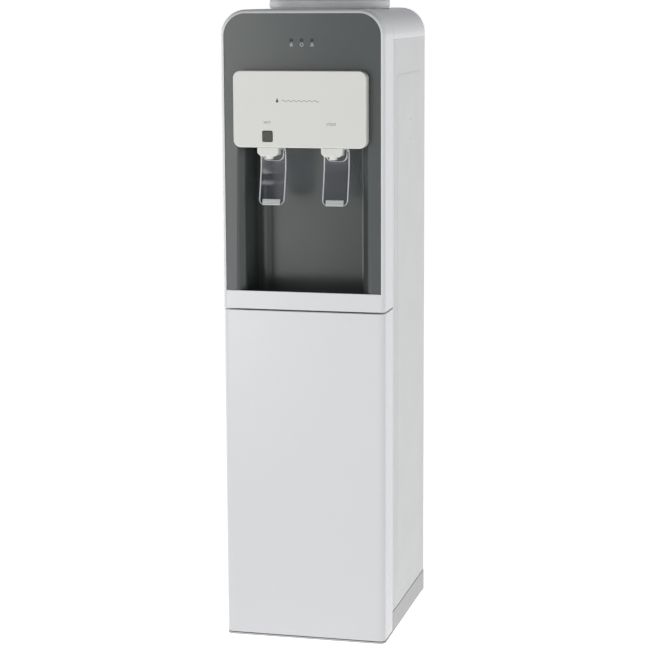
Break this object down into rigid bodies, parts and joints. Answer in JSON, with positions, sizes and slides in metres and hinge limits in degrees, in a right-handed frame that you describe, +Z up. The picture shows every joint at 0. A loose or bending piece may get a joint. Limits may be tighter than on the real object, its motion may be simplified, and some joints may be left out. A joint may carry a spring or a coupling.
{
  "type": "water dispenser",
  "caption": "Floor-standing top-loading hot and cold water dispenser with a dark front alcove, clear push levers, a lift-out drip tray and a hinged lower cabinet.",
  "frame": {"origin": "centre of the overall footprint, on the floor under the feet", "axes": "+Z up, front with the taps towards -Y, +X to the right when facing the front"},
  "size_m": [0.27, 0.37, 1.054],
  "materials": {
    "shell_white": "satin moulded plastic",
    "liner_white": "fine-grained moulded plastic",
    "base_grey": "fine-grained moulded plastic",
    "sheet_white": "satin powder coat on sheet steel",
    "sheet_grey": "galvanised sheet steel",
    "fascia_grey": "satin moulded plastic",
    "panel_white": "satin moulded plastic, warm white",
    "collar_grey": "satin moulded plastic",
    "clear_blade": "clear moulded plastic",
    "pad_grey": "soft ribbed pad",
    "button_grey": "satin moulded plastic",
    "lens_black": "smoked clear plastic",
    "stainless": "brushed stainless steel",
    "copper_pipe": "bare copper pipe",
    "black_steel": "black stove enamel",
    "foam": "expanded foam",
    "silicone": "translucent silicone",
    "board_green": "printed circuit board",
    "black_plastic": "black moulded plastic",
    "foot_rubber": "black rubber",
    "rocker_red": "gloss rocker",
    "rocker_blue": "gloss rocker"
  },
  "bodies": {
    "chassis": {"top_cover": "shell_white", "front_frame": "shell_white", "cabinet_liner": "liner_white", "drain_outlet": "liner_white", "base_tray": "base_grey", "side_panel_left": "sheet_white", "side_panel_right": "sheet_white", "rear_panel": "sheet_grey", "fascia": "fascia_grey", "tap_panel": "panel_white", "tap_body_hot": "panel_white", "tap_body_cold": "panel_white", "light_guide": "lens_black", "cold_tank": "stainless", "hot_tank": "stainless", "lever_pin_hot": "stainless", "lever_pin_cold": "stainless", "hinge_pin_upper": "stainless", "hinge_pin_lower": "stainless", "valve_spring_hot": "stainless", "valve_spring_cold": "stainless", "evaporator_coil": "copper_pipe", "suction_pipe": "copper_pipe", "discharge_pipe": "copper_pipe", "compressor": "black_steel", "condenser_tube": "black_steel", "condenser_grid": "black_steel", "condenser_bracket_lower": "black_steel", "condenser_bracket_upper": "black_steel", "cold_tank_foam": "foam", "hose_hot": "silicone", "hose_cold": "silicone", "feed_hose": "silicone", "drain_hose": "silicone", "indicator_board": "board_green", "switch_plate": "black_plastic", "cord_gland": "black_plastic", "thermostat": "black_plastic", "catch_magnet": "black_plastic", "foot_front_left": "foot_rubber", "foot_front_right": "foot_rubber", "foot_rear_left": "foot_rubber", "foot_rear_right": "foot_rubber"},
    "door": {"door_panel": "shell_white", "door_liner": "liner_white", "strike_plate": "stainless"},
    "hot_lever": {"lever_hot": "clear_blade", "push_pad_hot": "pad_grey"},
    "cold_lever": {"lever_cold": "clear_blade", "push_pad_cold": "pad_grey"},
    "hot_stem": {"valve_stem_hot": "silicone"},
    "cold_stem": {"valve_stem_cold": "silicone"},
    "lock_button": {"child_lock_button": "button_grey"},
    "tray": {"drip_tray": "fascia_grey"},
    "grille": {"drip_grille": "fascia_grey"},
    "bottle_seat": {"bottle_collar": "collar_grey", "bottle_spike": "silicone"},
    "heat_rocker": {"heat_switch": "rocker_red"},
    "cool_rocker": {"cool_switch": "rocker_blue"},
    "drain_plug": {"drain_cap": "black_plastic"}
  },
  "joints": [
    {"name": "door_hinge", "type": "hinge", "parent": "chassis", "child": "door", "pos_m": [-0.1295, -0.1085, 0.283], "axis": [0, 0, -1], "range_deg": [0, 100]},
    {"name": "hot_lever_hinge", "type": "hinge", "parent": "chassis", "child": "hot_lever", "pos_m": [-0.0525, -0.158, 0.828], "axis": [1, 0, 0], "range_deg": [0, 12], "stiffness_Nm_per_rad": 1, "springref_deg": -5.73},
    {"name": "cold_lever_hinge", "type": "hinge", "parent": "chassis", "child": "cold_lever", "pos_m": [0.0525, -0.158, 0.828], "axis": [1, 0, 0], "range_deg": [0, 12], "stiffness_Nm_per_rad": 1, "springref_deg": -5.73},
    {"name": "hot_valve_slide", "type": "slide", "parent": "chassis", "child": "hot_stem", "axis": [0, -1, 0], "range_m": [0, 0.0022], "deforming": ["valve_spring_hot"]},
    {"name": "cold_valve_slide", "type": "slide", "parent": "chassis", "child": "cold_stem", "axis": [0, -1, 0], "range_m": [0, 0.0022], "deforming": ["valve_spring_cold"]},
    {"name": "lock_slide", "type": "slide", "parent": "chassis", "child": "lock_button", "axis": [0, 1, 0], "range_m": [0, 0.003], "stiffness_N_per_m": 400, "springref_m": -0.002},
    {"name": "tray_lift", "type": "slide", "parent": "chassis", "child": "tray", "axis": [0, 0, 1], "range_m": [0, 0.035]},
    {"name": "grille_lift", "type": "slide", "parent": "tray", "child": "grille", "axis": [0, 0, 1], "range_m": [0, 0.03]},
    {"name": "seat_lift", "type": "slide", "parent": "chassis", "child": "bottle_seat", "axis": [0, 0, 1], "range_m": [0, 0.08]},
    {"name": "heat_rock", "type": "hinge", "parent": "chassis", "child": "heat_rocker", "pos_m": [0.03, 0.1608, 0.3], "axis": [1, 0, 0], "range_deg": [0, 14]},
    {"name": "cool_rock", "type": "hinge", "parent": "chassis", "child": "cool_rocker", "pos_m": [0.06, 0.1608, 0.3], "axis": [1, 0, 0], "range_deg": [0, 14]},
    {"name": "drain_cap_pull", "type": "slide", "parent": "chassis", "child": "drain_plug", "axis": [0, 1, 0], "range_m": [0, 0.03]}
  ],
  "couplings": [
    {"joint": "hot_valve_slide", "follows": "hot_lever_hinge", "m_per_rad": 0.01},
    {"joint": "cold_valve_slide", "follows": "cold_lever_hinge", "m_per_rad": 0.01}
  ]
}
